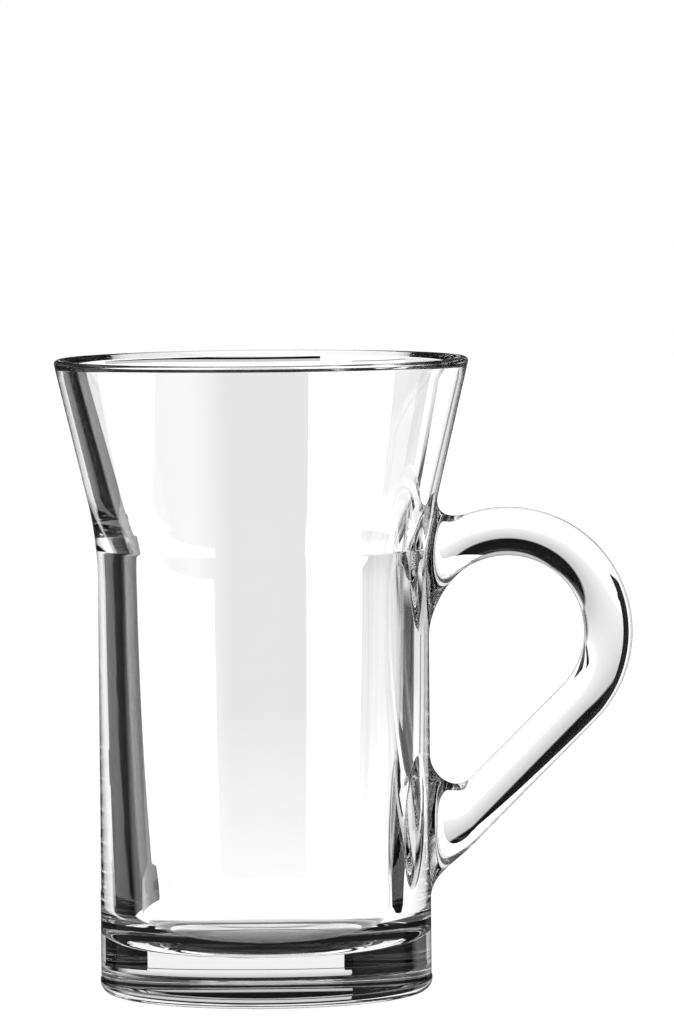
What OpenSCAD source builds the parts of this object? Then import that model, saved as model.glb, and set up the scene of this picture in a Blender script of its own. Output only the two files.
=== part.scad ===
// Clear glass mug: a heavy pressed bowl, flared above its waist, with a bent
// rod handle that is fused to two bosses on the wall. Millimetres, +Z up, the
// bowl's axis on Z, the bowl standing on Z = 0, the handle towards +X.

/* [Bowl] */
// Height of the bowl, from the table to the top of the lip
height = 122.7; // [112:0.1:140]
// Outer diameter at the lip
rim_d = 80; // [74:0.5:92]
// Outer diameter of the straight lower part
body_d = 64; // [58:0.5:70]
// Height at which the flare would leave the straight part without its blend
waist_h = 87.7; // [80:0.1:94]
// Radius of the soft outer blend at the waist
waist_blend_r = 72; // [30:1:120]

/* [Lip] */
// Thickness of the glass at the lip
lip_w = 3.9; // [2.6:0.1:5]
// Height and radius of the lip's rounded outer edge
lip_h = 0.8; // [0.5:0.1:1.6]
// How far the top of the lip falls towards its inner edge
lip_fall = 1; // [0.3:0.1:1.5]
// Radius of the lip's inner edge
lip_edge_r = 0.3; // [0.2:0.1:0.8]

/* [Cavity] */
// Height of the crease where the inside starts to flare
crease_h = 86; // [78:0.1:92]
// Radius that softens the crease
crease_r = 2.5; // [1:0.5:12]
// Thickness of the wall at the crease, where the inside stands upright
crease_wall = 5.2; // [4.5:0.1:8]
// Thickness that the wall bows out to at the cavity's floor
floor_wall = 8.2; // [7:0.1:12]
// Thickness of the base under the edge of the cavity's floor
base_t = 9.5; // [7:0.1:14]
// Radius between the cavity's wall and its floor
floor_corner_r = 8; // [2:0.1:9]
// How much lower the middle of the cavity's floor is than its edge
floor_dip = 1; // [0.2:0.1:2]

/* [Foot] */
// Radius of the heel, under the wall
heel_r = 2.5; // [1:0.1:2.7]
// Height of the seam left by the two halves of the mould
seam_h = 3; // [2.8:0.1:6]
// How far the glass under the seam stands proud of the wall
seam_step = 0.15; // [0.05:0.05:0.4]
// Diameter of the hollow under the base
punt_d = 48; // [40:0.5:52]
// Depth of the hollow under the base
punt_h = 1.2; // [0.5:0.1:2.5]

/* [Handle] */
// Diameter of the round handle
handle_d = 9.4; // [7.5:0.1:11]
// Radius of the handle's bend, at the middle of the glass
bend_r = 19.5; // [16:0.1:24]
// Height of the centre of the bend
bend_h = 69.3; // [64:0.1:74]
// Least gap between the wall and the inside of the full bend circle
bend_gap = 0.4; // [0.1:0.1:2]
// Slope of the straight lower part, in degrees below level
slope_a = 45; // [38:0.5:50]

/* [Bosses] */
// How far the two fused joints stand off the wall, at the top of the upper boss
weld_off = 5.9; // [4:0.1:8]
// How much wider than the handle each boss is, on each side, at the wall
boss_spread = 2; // [1:0.1:3.5]
// How far the upper boss climbs the wall above the handle
upper_rise = 7.9; // [5:0.1:11]
// How far the upper boss runs down the wall below the bend's centre
upper_drop = 0.8; // [0:0.1:4]
// How far the lower boss climbs the wall above the handle
lower_rise = 12.6; // [8:0.1:14]
// How far the lower boss runs down the wall below the handle
lower_drop = 2.1; // [1:0.1:5]

/* [Hidden] */
glass = [0.86, 0.93, 0.93];

// Steps in each rounded stretch of the bowl's outline
arc_steps = 10;
// Steps down the cavity's bowed wall
belly_steps = 10;
// Steps across the floor of the cavity and the hollow under the base
dish_steps = 8;
// Corners round each boss, and rings along it
boss_sides = 64;
boss_rings = 12;
// How deep the edge of each boss reaches into the wall before it is cut to it
boss_sink = 0.2;
// Share of the way from joint to wall over which a boss keeps the direction of
// the handle, along its top and along its underside
leave_top_share = 0.45;
leave_under_share = 0.34;
// Share of half the boss's height over which it keeps the direction of the wall
land_share = 0.32;

$fn = 96;

rim_r = rim_d / 2;
body_r = body_d / 2;
lip_z = height - lip_h;
flare_a = atan((rim_r - body_r) / (lip_z - waist_h));
rod_r = handle_d / 2;
bend_x = body_r + bend_gap + bend_r - rod_r;
// Heights between which the upper boss runs on the wall
crown = sqrt(pow(bend_r + rod_r, 2) - pow(bend_x - body_r, 2));
upper_top = bend_h + crown + upper_rise;
upper_bottom = bend_h - upper_drop;
// Plane of the two fused joints
weld_x = outer_r(upper_top) + weld_off;
// Where the bend turns into the straight lower part
straight_x = bend_x + bend_r * sin(slope_a);
straight_z = bend_h - bend_r * cos(slope_a);
// Direction along the straight part, towards the wall
straight_dir = [-cos(slope_a), 0, -sin(slope_a)];

function unit(v) = v / norm(v);
function last(list) = list[len(list) - 1];

// The arc of radius r that rounds the corner b on the way from a to c
function rounded(a, b, c, r) =
    let (
        u = unit(a - b),
        w = unit(c - b),
        half = acos(u * w) / 2,
        centre = b + unit(u + w) * r / sin(half),
        from = b + u * r / tan(half) - centre,
        to = b + w * r / tan(half) - centre,
        start = atan2(from.y, from.x),
        sweep = atan2(from.x * to.y - from.y * to.x, from * to)
    )
    [for (i = [0 : arc_steps])
        let (a = start + sweep * i / arc_steps)
        centre + r * [cos(a), sin(a)]];

// A shallow dish from radius r at height z to the axis, where it is dip lower
function dish(r, z, dip) =
    [for (i = [1 : dish_steps])
        let (share = 1 - i / dish_steps)
        [r * share, z - dip * (1 - share * share)]];

// Outer radius of the bowl at height z
function outer_r(z) =
    let (
        reach = waist_blend_r * tan(flare_a / 2),
        blend_low = waist_h - reach,
        blend_high = waist_h + reach * cos(flare_a)
    )
    z <= blend_low ? body_r
    : z <= blend_high
        ? body_r + waist_blend_r - sqrt(pow(waist_blend_r, 2) - pow(z - blend_low, 2))
        : body_r + (z - waist_h) * tan(flare_a);

// Half of the bowl's outer outline, from the heel up to the lip
function outer_outline() =
    let (
        waist = [body_r, waist_h],
        lip_edge = [rim_r, lip_z],
        proud_r = body_r + seam_step
    )
    concat(
        rounded([0, 0], [proud_r, 0], [proud_r, seam_h], heel_r),
        [[proud_r, seam_h - seam_step], [body_r, seam_h]],
        rounded([body_r, 0], waist, lip_edge, waist_blend_r)
    );

// Where the falling top of the lip would meet the cavity's flared wall
lip_inner = [rim_r - lip_w, height - lip_fall];

// The lip, from its rounded outer edge over the falling top to its inner edge
function lip_outline() =
    let (centre = [rim_r - lip_h, lip_z])
    concat(
        [for (i = [0 : arc_steps])
            let (a = 90 * i / arc_steps)
            centre + lip_h * [cos(a), sin(a)]],
        rounded(centre + [0, lip_h], lip_inner, belly(1), lip_edge_r)
    );

// The cavity's bowed wall: share is 1 at the crease, where it is upright, and 0
// at the floor
function belly(share) =
    let (bow = (floor_wall - crease_wall) * pow(1 - share, 2))
    [body_r - crease_wall - bow, base_t + (crease_h - base_t) * share];

// The cavity's outline, from under the lip down to the axis
function cavity_outline() =
    let (
        step = 1 / belly_steps,
        // The corner's second side points along the edge of the dish
        floor_end = [0, base_t - 2 * floor_dip],
        floor_arc = rounded(belly(2 * step), belly(0), floor_end, floor_corner_r),
        edge = last(floor_arc)
    )
    concat(
        rounded(lip_inner, belly(1), belly(1 - step), crease_r),
        [for (i = [1 : belly_steps - 2]) belly(1 - i * step)],
        floor_arc,
        dish(edge.x, edge.y, floor_dip)
    );

// The hollow under the base, from the axis out to the ring that the mug stands on
function punt_outline() =
    let (hollow = dish(punt_d / 2, 0, -punt_h))
    concat([for (i = [dish_steps - 1 : -1 : 0]) hollow[i]], [[punt_d / 2, 0]]);

// The bowl filled solid, which cuts each boss to the wall
module bowl_form() {
    rotate_extrude()
        polygon(concat([[0, 0]], outer_outline(), [[rim_r, lip_z], [0, lip_z]]));
}

module bowl() {
    color(glass)
        rotate_extrude()
            polygon(concat(
                punt_outline(), outer_outline(), lip_outline(), cavity_outline()
            ));
}

// The round rod from wall to wall: its bend and its straight part
module handle_rod() {
    union() {
        translate([bend_x, 0, bend_h])
            rotate([90, 0, 0])
                rotate([0, 0, slope_a - 90])
                    rotate_extrude(angle = 180 + 90 - slope_a)
                        translate([bend_r, 0])
                            circle(r = rod_r);
        translate([straight_x, 0, straight_z])
            rotate([180, 90 - slope_a, 0])
                cylinder(r = rod_r, h = straight_x / cos(slope_a));
    }
}

// The handle, its two ends cut off flat at the joints
module handle() {
    color(glass)
        intersection() {
            handle_rod();
            translate([weld_x, -rim_r, 0])
                cube([rim_d, rim_d, height]);
        }
}

// One point of a curve that leaves p towards q and reaches s from r
function bezier(p, q, r, s, t) =
    pow(1 - t, 3) * p + 3 * pow(1 - t, 2) * t * q
    + 3 * (1 - t) * pow(t, 2) * r + pow(t, 3) * s;

// The point at angle a from the top, on the edge of a boss on the wall if share is 1
// and nearer to its middle if it is less
function wall_point(top, bottom, a, share) =
    let (
        y = (rod_r + boss_spread) * sin(a) * share,
        z = (top + bottom) / 2 + (top - bottom) / 2 * cos(a) * share
    )
    [sqrt(pow(outer_r(z) - boss_sink, 2) - y * y), y, z];

// The line of a boss from its joint, where the handle runs along dir, to the wall
function boss_line(joint, dir, top, bottom, a) =
    let (
        foot = wall_point(top, bottom, a, 1),
        topness = (1 + cos(a)) / 2,
        leave_share = leave_top_share * topness + leave_under_share * (1 - topness),
        reach = norm(foot - joint) * leave_share,
        landing = wall_point(top, bottom, a, 1 - land_share)
    )
    [for (i = [0 : boss_rings])
        bezier(joint, joint + dir * reach, landing, foot, i / boss_rings)];

// A boss made of such lines, closed at the joint and inside the wall, and cut to it
module boss(lines, top, bottom) {
    middle = (top + bottom) / 2;
    joint_z = (lines[0][0].z + lines[boss_sides / 2][0].z) / 2;
    points = concat(
        [[weld_x, 0, joint_z], [outer_r(middle) - boss_spread, 0, middle]],
        [for (line = lines, p = line) p]
    );
    rows = boss_rings + 1;
    // Index of ring i of line j
    function at(i, j) = 2 + (j % boss_sides) * rows + i;
    faces = concat(
        [for (j = [0 : boss_sides - 1]) [0, at(0, j), at(0, j + 1)]],
        [for (j = [0 : boss_sides - 1]) [1, at(boss_rings, j + 1), at(boss_rings, j)]],
        [for (j = [0 : boss_sides - 1], i = [0 : boss_rings - 1], half = [0, 1])
            half == 0
                ? [at(i, j), at(i + 1, j), at(i + 1, j + 1)]
                : [at(i, j), at(i + 1, j + 1), at(i, j + 1)]]
    );
    color(glass)
        difference() {
            polyhedron(points = points, faces = faces, convexity = 4);
            bowl_form();
        }
}

// The boss that the bend grows out of
module upper_boss() {
    boss([for (j = [0 : boss_sides - 1])
        let (
            a = 360 * j / boss_sides,
            r = bend_r + rod_r * cos(a),
            turn = acos((weld_x - bend_x) / r)
        )
        boss_line(
            [weld_x, rod_r * sin(a), bend_h + r * sin(turn)],
            [-sin(turn), 0, cos(turn)], upper_top, upper_bottom, a
        )], upper_top, upper_bottom);
}

// The boss that the straight part runs into
module lower_boss() {
    half = rod_r / cos(slope_a);
    wall_z = straight_z - (straight_x - body_r) * tan(slope_a);
    weld_z = straight_z - (straight_x - weld_x) * tan(slope_a);
    top = wall_z + half + lower_rise;
    bottom = wall_z - half - lower_drop;
    boss([for (j = [0 : boss_sides - 1])
        let (a = 360 * j / boss_sides)
        boss_line(
            [weld_x, rod_r * sin(a), weld_z + half * cos(a)],
            straight_dir, top, bottom, a
        )], top, bottom);
}

bowl();
upper_boss();
lower_boss();
handle();
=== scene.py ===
"""A clear pressed-glass mug with a fused rod handle, dressed as glass in a plain bright studio.

The four glass pieces are rebuilt here as fine, closed meshes in the solids' own sizes. Where two
pieces are fused they meet in one shared patch that light passes straight through, so the mug
refracts as a single lump of glass.
"""
import math

import bpy
import numpy as np
from mathutils import Matrix


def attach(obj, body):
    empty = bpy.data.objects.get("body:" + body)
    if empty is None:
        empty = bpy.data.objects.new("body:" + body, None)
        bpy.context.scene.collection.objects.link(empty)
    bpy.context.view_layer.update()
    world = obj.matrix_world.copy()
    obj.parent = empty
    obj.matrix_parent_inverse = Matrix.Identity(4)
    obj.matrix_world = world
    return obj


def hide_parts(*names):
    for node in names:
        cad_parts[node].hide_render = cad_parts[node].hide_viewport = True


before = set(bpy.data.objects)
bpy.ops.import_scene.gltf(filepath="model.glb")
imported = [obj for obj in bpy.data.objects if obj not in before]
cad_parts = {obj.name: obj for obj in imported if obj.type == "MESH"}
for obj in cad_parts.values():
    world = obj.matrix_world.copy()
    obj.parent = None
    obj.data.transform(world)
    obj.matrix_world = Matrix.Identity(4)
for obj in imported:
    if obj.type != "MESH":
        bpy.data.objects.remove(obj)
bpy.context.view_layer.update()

MM = 0.001

# Bowl, in millimetres
HEIGHT = 122.7
RIM_R = 40.0
BODY_R = 32.0
WAIST_H = 87.7
WAIST_BLEND_R = 72.0
LIP_W = 3.9
LIP_H = 0.8
LIP_FALL = 1.0
LIP_EDGE_R = 0.3
CREASE_H = 86.0
CREASE_R = 2.5
CREASE_WALL = 5.2
FLOOR_WALL = 8.2
BASE_T = 9.5
FLOOR_CORNER_R = 8.0
FLOOR_DIP = 1.0
HEEL_R = 2.5
SEAM_H = 3.0
SEAM_STEP = 0.15
PUNT_R = 24.0
PUNT_H = 1.2

# Handle and bosses, in millimetres
ROD_R = 4.7
BEND_R = 19.5
BEND_H = 69.3
BEND_GAP = 0.4
SLOPE = math.radians(45.0)
WELD_OFF = 5.9
BOSS_SPREAD = 2.0
UPPER_RISE = 7.9
UPPER_DROP = 0.8
LOWER_RISE = 12.6
LOWER_DROP = 2.1
LEAVE_TOP = 0.45
LEAVE_UNDER = 0.34
LAND = 0.32

LIP_Z = HEIGHT - LIP_H
FLARE = math.atan((RIM_R - BODY_R) / (LIP_Z - WAIST_H))
REACH = WAIST_BLEND_R * math.tan(FLARE / 2)
BLEND_LOW = WAIST_H - REACH
BLEND_HIGH = WAIST_H + REACH * math.cos(FLARE)

# Mesh density
AROUND = 320
PATCH_COLS = 26
PATCH_ROWS = 30
PATCH_RINGS = 8
PATCH_MARGIN = 4.5
WALL_STEP = 1.5
BOSS_STEPS = 22
CAP_RINGS = 5

# The cavity wall's bow runs between these shares of its height
BELLY_TOP = 0.9
BELLY_END = 0.2

GLASS_IOR = 1.52

# Floor, in metres, and the painted shadow under the mug, a dark spot that only the glass sees, in
# millimetres
FLOOR_HALF = 3.0
FLOOR_GLOW = 0.88
FLOOR_GREY = 0.3
PAINTED_SHADOW_R = 31
PAINTED_SHADOW_SOFT = 5
PAINTED_SHADOW_LEVEL = 0.01

# Dark strips in the world for light mirrored inside the wall: from, to and softness in degrees
# of azimuth, and the level they dim to
STRIPS = ((31, 49.5, 3, 0.04), (15.5, 19, 2, 0.25), (3, 8, 3, 0.4))
MIRROR_LOSS = 0.9

# Camera: angles in degrees, focal length in millimetres for a 36 mm sensor, place in metres
YAW, PITCH, ROLL = 0.5212, -3.4005, -0.4995
SENSOR = 36.0
LENS = 289.095
CAMERA_AT = (0.0, -1.5855, 0.187)

# Light paths: light trapped in glass needs many
BOUNCES = 48
GLOSSY_BOUNCES = 32


def outer_r(z):
    """Outer radius of the bowl at height z."""
    if z <= BLEND_LOW:
        return BODY_R
    if z <= BLEND_HIGH:
        return BODY_R + WAIST_BLEND_R - math.sqrt(WAIST_BLEND_R**2 - (z - BLEND_LOW) ** 2)
    return BODY_R + (z - WAIST_H) * math.tan(FLARE)


def outer_slope(z):
    """How fast the outer radius grows with height at z."""
    if z <= BLEND_LOW:
        return 0.0
    if z <= BLEND_HIGH:
        return (z - BLEND_LOW) / math.sqrt(WAIST_BLEND_R**2 - (z - BLEND_LOW) ** 2)
    return math.tan(FLARE)


def wall_normal(x, y, z):
    """The bowl's outward normal at a point of its outer wall."""
    r = math.hypot(x, y)
    n = np.array([x / r, y / r, -outer_slope(z)])
    return n / np.linalg.norm(n)


def arc_corner(a, b, c, r, steps):
    """The arc of radius r that rounds corner b on the way from a to c."""
    a, b, c = (np.array(p, float) for p in (a, b, c))
    u = (a - b) / np.linalg.norm(a - b)
    w = (c - b) / np.linalg.norm(c - b)
    half = math.acos(float(u @ w)) / 2
    m = (u + w) / np.linalg.norm(u + w)
    centre = b + m * r / math.sin(half)
    p = b + u * r / math.tan(half) - centre
    q = b + w * r / math.tan(half) - centre
    start = math.atan2(p[1], p[0])
    sweep = math.atan2(p[0] * q[1] - p[1] * q[0], float(p @ q))
    turns = [start + sweep * i / steps for i in range(steps + 1)]
    return [tuple(centre + r * np.array([math.cos(t), math.sin(t)])) for t in turns]


def dish(r, z, dip, steps):
    """From radius r at height z in to the axis, where it is dip lower."""
    return [
        (r * (1 - i / steps), z - dip * (1 - (1 - i / steps) ** 2)) for i in range(1, steps + 1)
    ]


def belly_point(share):
    """A point of the cavity's bowed wall: 1 at the crease, where it is upright, 0 at the floor."""
    bow = (FLOOR_WALL - CREASE_WALL) * (1 - share) ** 2
    return (BODY_R - CREASE_WALL - bow, BASE_T + (CREASE_H - BASE_T) * share)


class Build:
    """Vertices, faces and marks of one mesh."""

    def __init__(self):
        self.points, self.faces, self.marks, self.fixed = [], [], [], {}

    def point(self, p, normal=None):
        self.points.append(tuple(float(x) * MM for x in p))
        if normal is not None:
            self.fixed[len(self.points) - 1] = tuple(normal)
        return len(self.points) - 1

    def face(self, ids, mark=0):
        self.faces.append(tuple(ids))
        self.marks.append(mark)

    def strip(self, one, two, mark=0, closed=True, flip=False):
        """Quads between two rows of as many points."""
        n = len(one)
        for i in range(n if closed else n - 1):
            j = (i + 1) % n
            ids = (one[i], one[j], two[j], two[i])
            self.face(ids[::-1] if flip else ids, mark)

    def fan(self, centre, ring, mark=0, flip=False):
        n = len(ring)
        for i in range(n):
            ids = (centre, ring[i], ring[(i + 1) % n])
            self.face(ids[::-1] if flip else ids, mark)

    def make(self, name, materials, sharp=math.radians(25)):
        mesh = bpy.data.meshes.new(name)
        mesh.from_pydata(self.points, [], self.faces)
        for m in materials:
            mesh.materials.append(m)
        mesh.polygons.foreach_set("material_index", self.marks)
        mesh.update()
        mesh.polygons.foreach_set("use_smooth", [True] * len(mesh.polygons))
        mesh.set_sharp_from_angle(angle=sharp)
        mesh.update()
        normals = np.zeros(len(mesh.loops) * 3, np.float32)
        mesh.corner_normals.foreach_get("vector", normals)
        normals = normals.reshape(-1, 3)
        if self.fixed:
            owner = np.zeros(len(mesh.loops), np.int32)
            mesh.loops.foreach_get("vertex_index", owner)
            glass = np.zeros(len(mesh.loops), bool)
            for p, mark in zip(mesh.polygons, self.marks):
                if mark == 0:
                    glass[p.loop_start : p.loop_start + p.loop_total] = True
            for i in np.flatnonzero(glass):
                n = self.fixed.get(int(owner[i]))
                if n is not None:
                    normals[i] = n
            mesh.normals_split_custom_set([tuple(n) for n in normals])
        mesh.update()
        obj = bpy.data.objects.new(name, mesh)
        bpy.context.scene.collection.objects.link(obj)
        return obj


# ---------------------------------------------------------------- bosses on the wall

BEND_X = BODY_R + BEND_GAP + BEND_R - ROD_R
CROWN = math.sqrt((BEND_R + ROD_R) ** 2 - (BEND_X - BODY_R) ** 2)
UPPER = (BEND_H + CROWN + UPPER_RISE, BEND_H - UPPER_DROP)
WELD_X = outer_r(UPPER[0]) + WELD_OFF
STRAIGHT_X = BEND_X + BEND_R * math.sin(SLOPE)
STRAIGHT_Z = BEND_H - BEND_R * math.cos(SLOPE)
ROD_HALF = ROD_R / math.cos(SLOPE)
WALL_Z = STRAIGHT_Z - (STRAIGHT_X - BODY_R) * math.tan(SLOPE)
LOWER = (WALL_Z + ROD_HALF + LOWER_RISE, WALL_Z - ROD_HALF - LOWER_DROP)


def wall_point(top, bottom, a, share):
    y = (ROD_R + BOSS_SPREAD) * math.sin(a) * share
    z = (top + bottom) / 2 + (top - bottom) / 2 * math.cos(a) * share
    return np.array([math.sqrt(outer_r(z) ** 2 - y * y), y, z])


def patch_border(top, bottom):
    """The heights of the wall's grid round a boss, and its border as (row, column), from the top.

    The border runs from the middle of the top row towards +Y.
    """
    middle, half = (top + bottom) / 2, (top - bottom) / 2 + PATCH_MARGIN
    rows = [middle + half * (1 - 2 * i / PATCH_ROWS) for i in range(PATCH_ROWS + 1)]
    c = PATCH_COLS // 2
    border = [(0, k) for k in range(0, c + 1)]
    border += [(i, c) for i in range(1, PATCH_ROWS + 1)]
    border += [(PATCH_ROWS, k) for k in range(c - 1, -c - 1, -1)]
    border += [(i, -c) for i in range(PATCH_ROWS - 1, -1, -1)]
    border += [(0, k) for k in range(-c + 1, 0)]
    return rows, border


def border_angles(top, bottom):
    """The angle on the boss's edge that faces each point of the patch's border."""
    rows, border = patch_border(top, bottom)
    middle, half = (top + bottom) / 2, (top - bottom) / 2
    out = []
    for i, k in border:
        t = 2 * math.pi * k / AROUND
        y = outer_r(rows[i]) * math.sin(t)
        out.append(math.atan2(y / (ROD_R + BOSS_SPREAD), (rows[i] - middle) / half) % (2 * math.pi))
    return out


def bezier(p, q, r, s, t):
    return (1 - t) ** 3 * p + 3 * (1 - t) ** 2 * t * q + 3 * (1 - t) * t**2 * r + t**3 * s


def bend_point(a, turn):
    """A point of the bend at angle a round the rod, from its outside, and its normal."""
    n = np.array([math.cos(a) * math.cos(turn), math.sin(a), math.cos(a) * math.sin(turn)])
    p = np.array([BEND_X + BEND_R * math.cos(turn), 0, BEND_H + BEND_R * math.sin(turn)])
    return p + ROD_R * n, n


def upper_joint(a):
    turn = math.acos((WELD_X - BEND_X) / (BEND_R + ROD_R * math.cos(a)))
    p, n = bend_point(a, turn)
    return p, n, np.array([-math.sin(turn), 0, math.cos(turn)])


def straight_normal(a):
    """Normal of the straight part at angle a, counted from its outside as on the bend."""
    return np.array([math.cos(a) * math.sin(SLOPE), math.sin(a), -math.cos(a) * math.cos(SLOPE)])


def lower_joint(a):
    """The joint's point at angle a, counted from the top of the boss."""
    z = STRAIGHT_Z - (STRAIGHT_X - WELD_X) * math.tan(SLOPE)
    p = np.array([WELD_X, ROD_R * math.sin(a), z + ROD_HALF * math.cos(a)])
    return p, straight_normal(math.pi - a), np.array([-math.cos(SLOPE), 0, -math.sin(SLOPE)])


def wall_cap(build, top, bottom, angles, ring, flip):
    """The shared patch inside a boss's edge on the wall, which light passes straight through."""
    last = ring
    for k in range(CAP_RINGS - 1, 0, -1):
        row = [build.point(wall_point(top, bottom, a, k / CAP_RINGS)) for a in angles]
        build.strip(last, row, 1, flip=flip)
        last = row
    middle = build.point(wall_point(top, bottom, 0, 0))
    build.fan(middle, last, 1, flip=not flip)


def make_boss(name, top, bottom, joint, materials):
    build = Build()
    angles = border_angles(top, bottom)
    ends = [joint(a) for a in angles]
    rows = []
    for i in range(BOSS_STEPS + 1):
        t = 0.5 - 0.5 * math.cos(math.pi * i / BOSS_STEPS)
        row = []
        for a, (p, n, d) in zip(angles, ends):
            foot = wall_point(top, bottom, a, 1)
            topness = (1 + math.cos(a)) / 2
            leave = LEAVE_TOP * topness + LEAVE_UNDER * (1 - topness)
            q = p + d * np.linalg.norm(foot - p) * leave
            x = bezier(p, q, wall_point(top, bottom, a, 1 - LAND), foot, t)
            fixed = n if i == 0 else wall_normal(*foot) if i == BOSS_STEPS else None
            row.append(build.point(x, fixed))
        rows.append(row)
    for one, two in zip(rows, rows[1:]):
        build.strip(one, two)
    wall_cap(build, top, bottom, angles, rows[-1], flip=False)
    middle = build.point(np.mean([e[0] for e in ends], axis=0))
    build.fan(middle, rows[0], 1, flip=True)
    return build.make(name, materials)


def make_handle(name, materials, bend_steps=72, straight_steps=24):
    build = Build()
    one = border_angles(*UPPER)
    two = border_angles(*LOWER)
    n = len(one)
    far = []
    for k in range(n):
        b = math.pi - two[(n // 2 - k) % n]
        far.append(b + 2 * math.pi * round((one[k] - b) / (2 * math.pi)))
    total = bend_steps + straight_steps
    rows = []
    for i in range(total + 1):
        s = i / total
        blend = s * s * (3 - 2 * s)
        row = []
        for k in range(n):
            a = one[k] + (far[k] - one[k]) * blend
            if i <= bend_steps:
                start = math.acos((WELD_X - BEND_X) / (BEND_R + ROD_R * math.cos(a)))
                turn = start + (SLOPE - math.pi / 2 - start) * i / bend_steps
                p, normal = bend_point(a, turn)
            else:
                normal = straight_normal(a)
                p = np.array([STRAIGHT_X, 0, STRAIGHT_Z]) + ROD_R * normal
                run = (p[0] - WELD_X) * (i - bend_steps) / straight_steps
                p = p - run * np.array([1, 0, math.tan(SLOPE)])
            row.append(build.point(p, normal))
        rows.append(row)
    for a, b in zip(rows, rows[1:]):
        build.strip(a, b, flip=True)
    for row, flip in ((rows[0], False), (rows[-1], True)):
        middle = build.point(np.mean([np.array(build.points[i]) / MM for i in row], axis=0))
        build.fan(middle, row, 1, flip=flip)
    return build.make(name, materials)


# ---------------------------------------------------------------- bowl


def make_bowl(name, materials):
    build = Build()
    c = PATCH_COLS // 2
    bosses = []
    for top, bottom in (UPPER, LOWER):
        rows, border = patch_border(top, bottom)
        bosses.append((top, bottom, rows, border))

    # Heights of the straight and flared wall's rows, those of the two patches among them
    taken = [z for b in bosses for z in b[2]]
    spans = [(min(b[2]), max(b[2])) for b in bosses]

    def free(z):
        return all(z < lo - 0.6 or z > hi + 0.6 for lo, hi in spans)

    heights = sorted(
        taken
        + [z for z in np.arange(SEAM_H + 1.2, LIP_Z - 0.6, WALL_STEP) if free(z)]
        + [z for z in (BLEND_LOW,) if free(z)]
    )

    outline = []  # (r, z, row of wall heights or None)
    proud = BODY_R + SEAM_STEP
    for r, z in arc_corner((0, 0), (proud, 0), (proud, SEAM_H), HEEL_R, 14):
        outline.append((r, z, None))
    outline.append((proud, SEAM_H - SEAM_STEP, None))
    outline.append((BODY_R, SEAM_H, None))
    for z in heights:
        outline.append((outer_r(z), z, z))
    crown = (RIM_R - LIP_H, HEIGHT)
    inner = (RIM_R - LIP_W, HEIGHT - LIP_FALL)
    crease = (BODY_R - CREASE_WALL, CREASE_H)
    corner = (BODY_R - FLOOR_WALL, BASE_T)
    edge = arc_corner(crown, inner, crease, LIP_EDGE_R, 12)
    soft = arc_corner(inner, crease, belly_point(BELLY_TOP), CREASE_R, 12)
    floor_end = (0, BASE_T - 2 * FLOOR_DIP)
    low = arc_corner(belly_point(BELLY_END), corner, floor_end, FLOOR_CORNER_R, 24)

    def line(p, q, steps):
        """Points between p and q, without its ends."""
        return [
            (p[0] + (q[0] - p[0]) * i / steps, p[1] + (q[1] - p[1]) * i / steps)
            for i in range(1, steps)
        ]

    lip = [
        (RIM_R - LIP_H + LIP_H * math.cos(a), LIP_Z + LIP_H * math.sin(a))
        for a in (math.pi / 2 * i / 16 for i in range(17))
    ]
    first = (soft[-1][1] - BASE_T) / (CREASE_H - BASE_T)
    belly = [belly_point(first + (BELLY_END - first) * i / 44) for i in range(1, 45)]
    cavity = lip + line(lip[-1], edge[0], 5) + edge + line(edge[-1], soft[0], 18) + soft + belly
    cavity += line(belly[-1], low[0], 6) + low
    outline += [(r, z, None) for r, z in cavity]
    outline += [(r, z, None) for r, z in dish(*low[-1], FLOOR_DIP, 14)[:-1]]
    floor_z = low[-1][1] - FLOOR_DIP
    punt = [(r, z, None) for r, z in dish(PUNT_R, 0, -PUNT_H, 16)[:-1]][::-1] + [(PUNT_R, 0, None)]
    outline = punt + outline

    rings = []
    for r, z, wall in outline:
        hole = next((b for b in bosses if wall is not None and min(b[2]) < wall < max(b[2])), None)
        ring = {}
        for i in range(AROUND):
            k = i if i <= AROUND // 2 else i - AROUND
            if hole and abs(k) < c:
                continue
            t = 2 * math.pi * k / AROUND
            ring[k] = build.point((r * math.cos(t), r * math.sin(t), z))
        rings.append((ring, wall))
    for (one, wa), (two, wb) in zip(rings, rings[1:]):
        on_wall = wa is not None and wb is not None
        inside = on_wall and any(
            min(rows) - 1e-6 <= wa and wb <= max(rows) + 1e-6 for _, _, rows, _ in bosses
        )
        for i in range(AROUND):
            k = i if i <= AROUND // 2 else i - AROUND
            m = k + 1 if k + 1 <= AROUND // 2 else k + 1 - AROUND
            if inside and -c <= k < c:
                continue
            build.face((one[k], one[m], two[m], two[k]))
    last = rings[-1][0]
    order = [i if i <= AROUND // 2 else i - AROUND for i in range(AROUND)]
    build.fan(build.point((0, 0, floor_z)), [last[k] for k in order], flip=False)
    first = rings[0][0]
    build.fan(build.point((0, 0, PUNT_H)), [first[k] for k in order], flip=True)

    by_height = {w: ring for ring, w in rings if w is not None}
    for top, bottom, rows, border in bosses:
        angles = border_angles(top, bottom)
        outer = [by_height[rows[i]][k] for i, k in border]
        last = outer
        for j in range(1, PATCH_RINGS + 1):
            s = j / PATCH_RINGS
            row = []
            for (i, k), a in zip(border, angles):
                foot = wall_point(top, bottom, a, 1)
                t0, z0 = 2 * math.pi * k / AROUND, rows[i]
                t1, z1 = math.atan2(foot[1], foot[0]), foot[2]
                t, z = t0 + (t1 - t0) * s, z0 + (z1 - z0) * s
                r = outer_r(z)
                p = (r * math.cos(t), r * math.sin(t), z)
                row.append(build.point(p, wall_normal(*p)))
            build.strip(last, row, flip=True)
            last = row
        wall_cap(build, top, bottom, angles, last, flip=True)
    return build.make(name, materials)


# ---------------------------------------------------------------- materials


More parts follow.
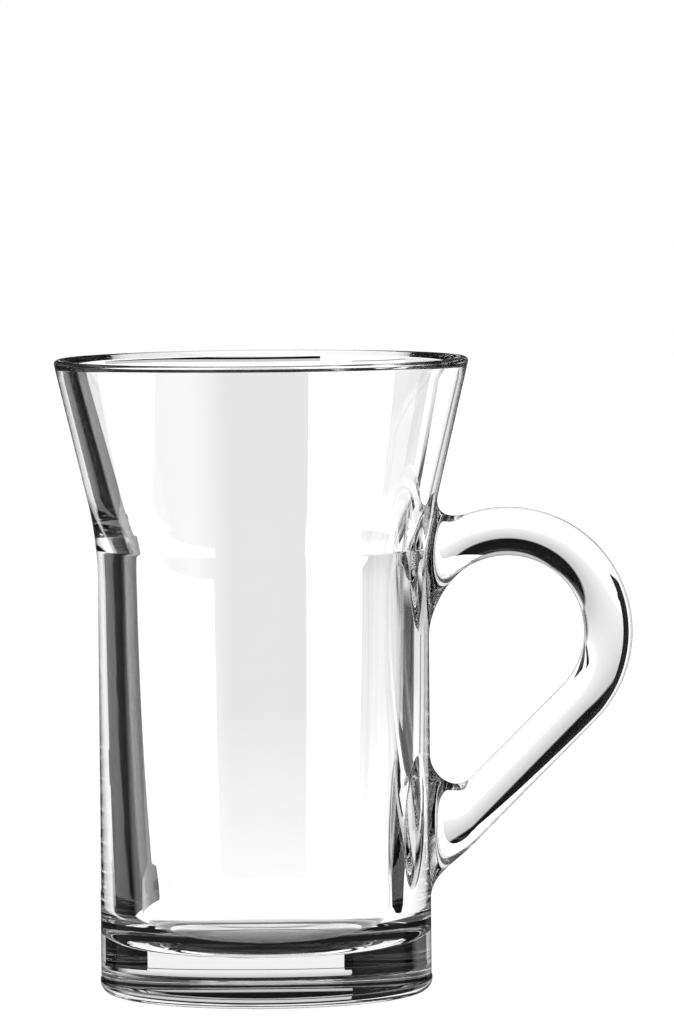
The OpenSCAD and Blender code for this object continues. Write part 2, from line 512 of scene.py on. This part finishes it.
def clear_glass():
    m = bpy.data.materials.new("clear_glass")
    m.use_nodes = True
    nodes, links = m.node_tree.nodes, m.node_tree.links
    shader = nodes["Principled BSDF"]
    shader.inputs["Base Color"].default_value = (1, 1, 1, 1)
    shader.inputs["Roughness"].default_value = 0.0
    shader.inputs["IOR"].default_value = GLASS_IOR
    shader.inputs["Transmission Weight"].default_value = 1.0
    return m


def fused():
    m = bpy.data.materials.new("fused_joint")
    m.use_nodes = True
    nodes, links = m.node_tree.nodes, m.node_tree.links
    nodes.remove(nodes["Principled BSDF"])
    through = nodes.new("ShaderNodeBsdfTransparent")
    links.new(through.outputs["BSDF"], nodes["Material Output"].inputs["Surface"])
    return m


glass = [clear_glass(), fused()]
bowl = make_bowl("bowl_glass", glass)
upper = make_boss("upper_boss_glass", *UPPER, upper_joint, glass)
lower = make_boss("lower_boss_glass", *LOWER, lower_joint, glass)
handle = make_handle("handle_glass", glass)
pieces = ((bowl, "bowl"), (upper, "upper_boss"), (lower, "lower_boss"), (handle, "handle"))
for piece, node in pieces:
    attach(piece, "root")
    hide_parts(node)

# ---------------------------------------------------------------- studio


def math_node(nodes, links, op, a, b=None, clamp=False):
    """A math node's output, from sockets or plain numbers."""
    n = nodes.new("ShaderNodeMath")
    n.operation = op
    n.use_clamp = clamp
    for i, v in enumerate((a, b)):
        if v is None:
            continue
        if isinstance(v, (int, float)):
            n.inputs[i].default_value = v
        else:
            links.new(v, n.inputs[i])
    return n.outputs[0]


def make_world():
    """The tent's light by direction: azimuth from +Y towards +X, and elevation, in degrees."""
    world = bpy.data.worlds.new("studio")
    bpy.context.scene.world = world
    world.use_nodes = True
    nodes, links = world.node_tree.nodes, world.node_tree.links
    out = nodes["World Output"]
    back = nodes["Background"]

    def calc(op, a, b=None, clamp=False):
        return math_node(nodes, links, op, a, b, clamp)

    coord = nodes.new("ShaderNodeTexCoord")
    split = nodes.new("ShaderNodeSeparateXYZ")
    links.new(coord.outputs["Generated"], split.inputs[0])
    x, y, z = split.outputs
    azimuth = calc("MULTIPLY", calc("ARCTAN2", x, y), 180 / math.pi)
    elevation = calc("MULTIPLY", calc("ARCSINE", z), 180 / math.pi)

    def edge(value, at, soft):
        """0 below at, 1 above it, over soft degrees."""
        return calc("DIVIDE", calc("SUBTRACT", value, at - soft / 2), soft, clamp=True)

    def span(value, low, high, soft=2.0, soft_high=None):
        up = edge(value, low, soft)
        down = edge(value, high, soft_high or soft)
        return calc("MULTIPLY", up, calc("SUBTRACT", 1.0, down))

    def both(*parts):
        total = parts[0]
        for p in parts[1:]:
            total = calc("MULTIPLY", total, p)
        return total

    def dim(light, where, to=0.0):
        """Light pulled down to a level where the mask is 1."""
        kept = calc("MULTIPLY", light, calc("SUBTRACT", 1.0, where))
        return calc("ADD", kept, calc("MULTIPLY", where, to))

    # White tent: a backdrop that greys towards its top edge, dark above it, light over and beside
    fade = calc("MULTIPLY", edge(elevation, -4.5, 17.0), 0.44)
    table = calc("SUBTRACT", 1.25, calc("MULTIPLY", edge(elevation, -8.5, 2), 0.13))
    light = calc("SUBTRACT", table, fade)
    light = dim(light, span(elevation, 8.0, 42, 2.5, 6), 0.0)
    sides = calc("MAXIMUM", edge(azimuth, 50, 14), calc("SUBTRACT", 1.0, edge(azimuth, -43, 14)))
    light = calc("MAXIMUM", light, both(sides, span(elevation, 6, 60, 6)))
    corner = both(span(azimuth, 50, 66, 10, 10), span(elevation, -10.0, 9.5, 12, 3))
    light = dim(light, corner, 0.0)
    path = nodes.new("ShaderNodeLightPath")
    inside = calc("GREATER_THAN", path.outputs["Glossy Depth"], 0.5)
    # Dark strips beside the tent, which the wall between the handle's ends turns to the camera
    strips = both(inside, span(elevation, -11.5, -5.0, 1.0))
    for low, high, soft, level in STRIPS:
        light = dim(light, both(strips, span(azimuth, low, high, soft, soft)), level)
    # The same on the other side, low down, for the wall at the inner crease
    low_strip = both(inside, span(azimuth, -50, -12, 5, 5), span(elevation, -42, -13, 3, 3))
    light = dim(light, low_strip, 0.05)
    # The room that the glass mirrors is darker than the tent seen through it
    reflection, diffuse = path.outputs["Is Reflection Ray"], path.outputs["Is Diffuse Ray"]
    mirrored = calc("SUBTRACT", reflection, diffuse, clamp=True)
    inner = both(inside, calc("LESS_THAN", y, 0.0))
    mirrored = calc("MAXIMUM", mirrored, inner)
    kept = calc("SUBTRACT", 1.0, calc("MULTIPLY", mirrored, MIRROR_LOSS))
    total = calc("MULTIPLY", light, kept)
    strength = nodes.new("ShaderNodeMix")
    strength.data_type = "FLOAT"
    links.new(path.outputs["Is Camera Ray"], strength.inputs[0])
    links.new(total, strength.inputs[2])
    strength.inputs[3].default_value = 1.0
    links.new(strength.outputs[0], back.inputs["Strength"])
    back.inputs["Color"].default_value = (1, 1, 1, 1)
    links.new(back.outputs[0], out.inputs["Surface"])


def make_floor():
    mesh = bpy.data.meshes.new("floor")
    s = FLOOR_HALF
    mesh.from_pydata([(-s, -s, 0), (s, -s, 0), (s, s, 0), (-s, s, 0)], [], [(0, 1, 2, 3)])
    floor = bpy.data.objects.new("floor", mesh)
    bpy.context.scene.collection.objects.link(floor)
    m = bpy.data.materials.new("pale_floor")
    m.use_nodes = True
    nodes, links = m.node_tree.nodes, m.node_tree.links
    nodes.remove(nodes["Principled BSDF"])
    glow = nodes.new("ShaderNodeEmission")
    glow.inputs["Strength"].default_value = FLOOR_GLOW
    matte = nodes.new("ShaderNodeBsdfDiffuse")
    matte.inputs["Color"].default_value = (FLOOR_GREY, FLOOR_GREY, FLOOR_GREY, 1)
    add = nodes.new("ShaderNodeAddShader")
    links.new(glow.outputs[0], add.inputs[0])
    links.new(matte.outputs[0], add.inputs[1])
    # Glass sees the table's light from the world, and a painted shadow right under the mug: a dark
    # spot on the floor
    clear = nodes.new("ShaderNodeBsdfTransparent")
    dark = nodes.new("ShaderNodeEmission")
    dark.inputs["Strength"].default_value = PAINTED_SHADOW_LEVEL
    where = nodes.new("ShaderNodeTexCoord")
    away = nodes.new("ShaderNodeVectorMath")
    away.operation = "LENGTH"
    links.new(where.outputs["Object"], away.inputs[0])
    under = math_node(nodes, links, "SUBTRACT", away.outputs["Value"], PAINTED_SHADOW_R * MM)
    under = math_node(nodes, links, "DIVIDE", under, PAINTED_SHADOW_SOFT * MM, clamp=True)
    # Painted shadow: dark inside the spot's radius, clear beyond it
    painted_shadow_or_clear = nodes.new("ShaderNodeMixShader")
    links.new(under, painted_shadow_or_clear.inputs[0])
    links.new(dark.outputs[0], painted_shadow_or_clear.inputs[1])
    links.new(clear.outputs[0], painted_shadow_or_clear.inputs[2])
    path = nodes.new("ShaderNodeLightPath")
    mix = nodes.new("ShaderNodeMixShader")
    links.new(path.outputs["Is Camera Ray"], mix.inputs[0])
    links.new(painted_shadow_or_clear.outputs[0], mix.inputs[1])
    links.new(add.outputs[0], mix.inputs[2])
    links.new(mix.outputs[0], nodes["Material Output"].inputs["Surface"])
    mesh.materials.append(m)


def make_card(name, outline, y, tones, soft=8, foot=None):
    """A studio card in an XZ plane, which only the glass sees.

    tones: (x, grey) steps from -X on. foot: (low z, high z, grey), a fade to grey down to low z.
    """
    mesh = bpy.data.meshes.new(name)
    points = [(x * MM, y * MM, z * MM) for x, z in outline]
    mesh.from_pydata(points, [], [tuple(range(len(points)))])
    card = bpy.data.objects.new(name, mesh)
    bpy.context.scene.collection.objects.link(card)
    card.visible_camera = card.visible_diffuse = card.visible_shadow = False
    m = bpy.data.materials.new(name)
    m.use_nodes = True
    nodes, links = m.node_tree.nodes, m.node_tree.links
    nodes.remove(nodes["Principled BSDF"])
    where = nodes.new("ShaderNodeTexCoord")
    split = nodes.new("ShaderNodeSeparateXYZ")
    links.new(where.outputs["Object"], split.inputs[0])
    tone = tones[0][1]
    for (x, grey), (_, last) in zip(tones[1:], tones):
        up = math_node(nodes, links, "SUBTRACT", split.outputs[0], (x - soft / 2) * MM)
        up = math_node(nodes, links, "DIVIDE", up, soft * MM, clamp=True)
        up = math_node(nodes, links, "MULTIPLY", up, grey - last)
        tone = math_node(nodes, links, "ADD", up, tone)
    if foot:
        low, high, grey = foot
        down = math_node(nodes, links, "SUBTRACT", high * MM, split.outputs[2])
        down = math_node(nodes, links, "DIVIDE", down, (high - low) * MM, clamp=True)
        more = math_node(nodes, links, "SUBTRACT", grey, tone)
        more = math_node(nodes, links, "MULTIPLY", more, down)
        tone = math_node(nodes, links, "ADD", more, tone)
    glow = nodes.new("ShaderNodeEmission")
    if isinstance(tone, float):
        glow.inputs["Strength"].default_value = tone
    else:
        links.new(tone, glow.inputs["Strength"])
    links.new(glow.outputs[0], nodes["Material Output"].inputs["Surface"])
    mesh.materials.append(m)


def make_cards():
    # Dark edges of the room, far back: the bands of the walls and the blocks in the base
    low_edge = [(-1700, -430), (-879, -292), (-600, -255), (-458, -240), (-306, -185), (-222, -150)]
    make_card(
        "dark_card",
        low_edge + [(-222, 430), (-1700, 430)],
        600,
        [(-1700, 0.14), (-790, 0.0), (-560, 0.01)],
        160,
    )
    patch = [(-230, -76), (-198, -75), (-198, -57), (-230, -58)]
    make_card("low_card", patch, 598, [(-230, 0.0)])
    side = [(205, -26), (240, -88), (300, -95), (600, -110), (600, -26)]
    make_card("side_card", side, 218, [(205, 0.0)])
    base = [(251, -38), (251, -57), (360, -68), (600, -90), (600, -60), (360, -47)]
    make_card("base_card", base, 400, [(251, 0.0)])
    # Close behind the mug: a white card, and a grey one with a rounded corner before it
    white = [(-42, 15), (26.5, 15), (26.5, 82), (31, 88), (31, 124), (-42, 124)]
    make_card("white_card", white, 46, [(-42, 1.25)])
    turns = [math.pi / 2 * i / 10 for i in range(11)]
    corner = [(-11.5 - 16.2 * math.sin(a), 89 - 10.5 * math.cos(a)) for a in turns]
    sides = [(-11.5, 15), (10.2, 15), (10.2, 115.9), (-23.3, 115.9), (-24.8, 101)]
    make_card(
        "grey_card",
        sides + corner[::-1],
        41.5,
        [(-28, 1.1), (-11.5, 0.93)],
        foot=(15, 50, 1.14),
    )
    # A rail behind the rim, which shows as the dark line along its far side
    rail = [(-34, 119.0), (-29, 119.5), (-23, 119.95), (-19, 120.1), (-12, 120.2), (12.3, 120.2)]
    for name, low, high, tone in (("rail", 0, 0.42, 0.0), ("rail_foot", -0.5, 0, 0.66)):
        outline = [(x, z + low) for x, z in rail] + [(x, z + high) for x, z in rail[::-1]]
        make_card(name, outline, 45, [(-36, tone)])
    make_card("rail_end", [(19, 119.4), (31, 119.1), (31, 119.35), (19, 119.6)], 45, [(19, 0.45)])


def make_camera():
    yaw, pitch, roll = (math.radians(v) for v in (YAW, PITCH, ROLL))
    level = math.cos(pitch)
    f = np.array([math.sin(yaw) * level, math.cos(yaw) * level, math.sin(pitch)])
    r = np.array([math.cos(yaw), -math.sin(yaw), 0.0])
    u = np.cross(r, f)
    right = math.cos(roll) * r + math.sin(roll) * u
    up = -math.sin(roll) * r + math.cos(roll) * u
    data = bpy.data.cameras.new("camera")
    data.sensor_width = SENSOR
    data.lens = LENS
    data.clip_start = 0.05
    camera = bpy.data.objects.new("camera", data)
    bpy.context.scene.collection.objects.link(camera)
    m = Matrix.Identity(4)
    for i in range(3):
        m[i][0], m[i][1], m[i][2] = right[i], up[i], -f[i]
    m[0][3], m[1][3], m[2][3] = CAMERA_AT
    camera.matrix_world = m
    bpy.context.scene.camera = camera


make_world()
make_floor()
make_cards()
make_camera()
bpy.context.scene.view_settings.view_transform = "Standard"
cycles = bpy.context.scene.cycles
cycles.max_bounces = cycles.transmission_bounces = cycles.transparent_max_bounces = BOUNCES
cycles.glossy_bounces = GLOSSY_BOUNCES
